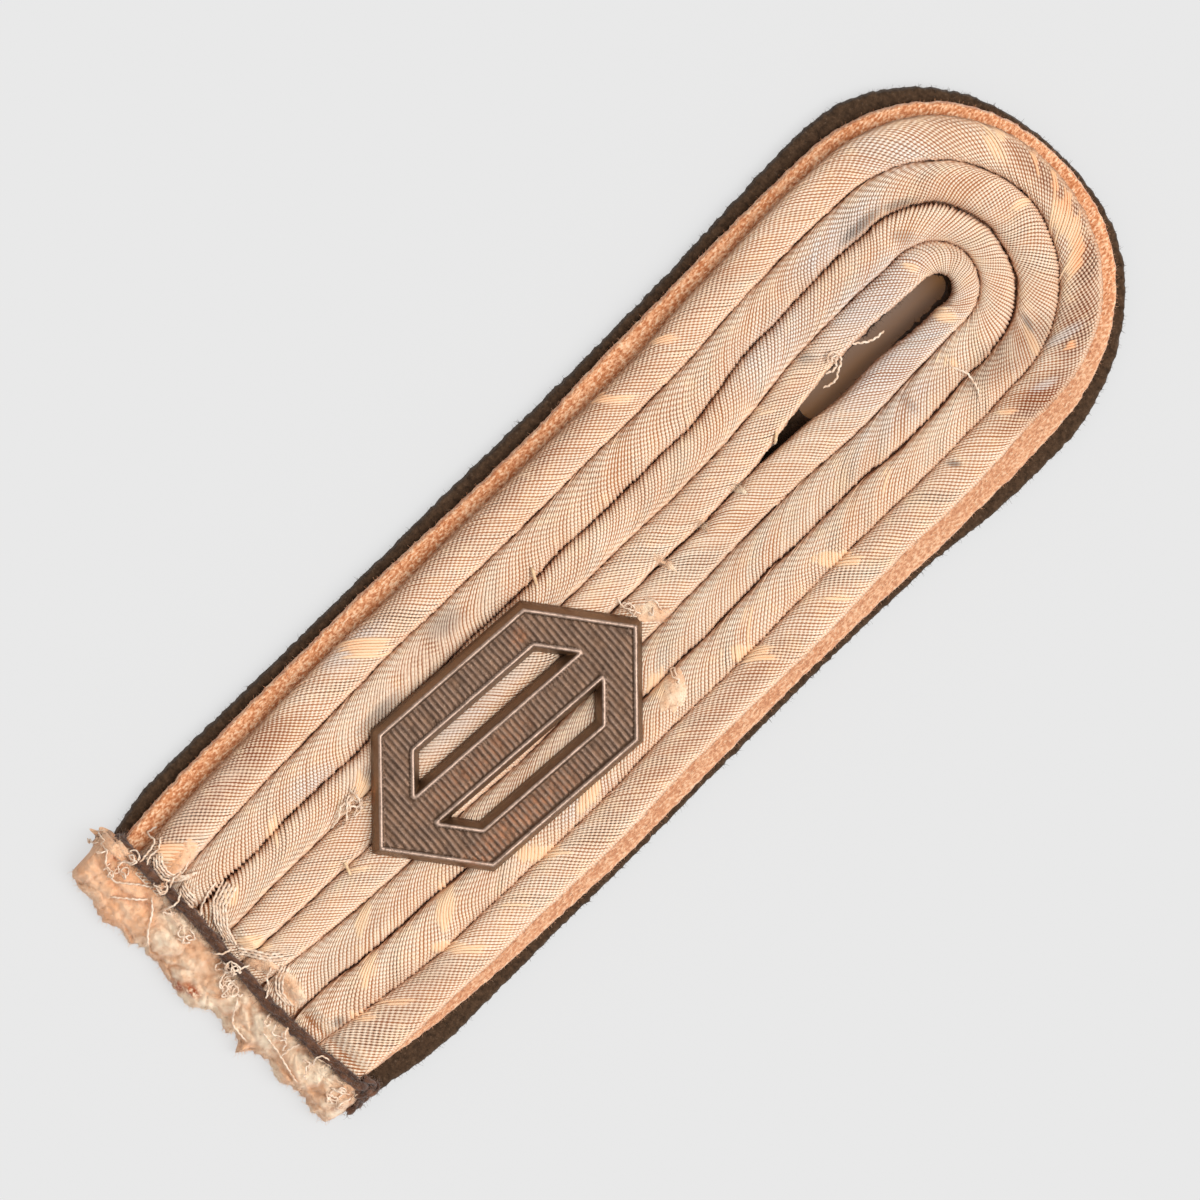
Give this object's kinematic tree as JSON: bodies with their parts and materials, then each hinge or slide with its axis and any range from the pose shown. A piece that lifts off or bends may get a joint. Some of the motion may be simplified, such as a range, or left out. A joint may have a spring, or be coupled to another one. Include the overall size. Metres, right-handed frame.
{
  "type": "shoulder board",
  "caption": "Worn uniform shoulder board: silk braid ribs looped round a buttonhole on a coloured underlay and dark wool base, with a metal device and a frayed, lashed sewn end.",
  "frame": {"origin": "under the middle of the board, on the surface it lies on", "axes": "+Y along the board towards the round buttonhole end, +X to the right seen from the face, +Z out of the face"},
  "size_m": [0.0415, 0.124, 0.008],
  "materials": {
    "base_wool": "dense dark brown wool felt",
    "underlay_wool": "salmon wool felt, worn at its edge",
    "braid_silk": "fine wrapped silk and cotton threads, yellowed and worn",
    "device_metal": "bronzed and tarnished, rubbed bright on its rims",
    "dark_cord": "twisted dark brown wool yarn",
    "wadding": "loose frayed cotton and braid ends"
  },
  "bodies": {
    "root": {"base_cloth": "base_wool", "color_underlay": "underlay_wool", "outer_braid": "braid_silk", "inner_braid": "braid_silk", "metal_device": "device_metal", "binding_cord": "dark_cord", "frayed_ends": "wadding"}
  },
  "joints": []
}
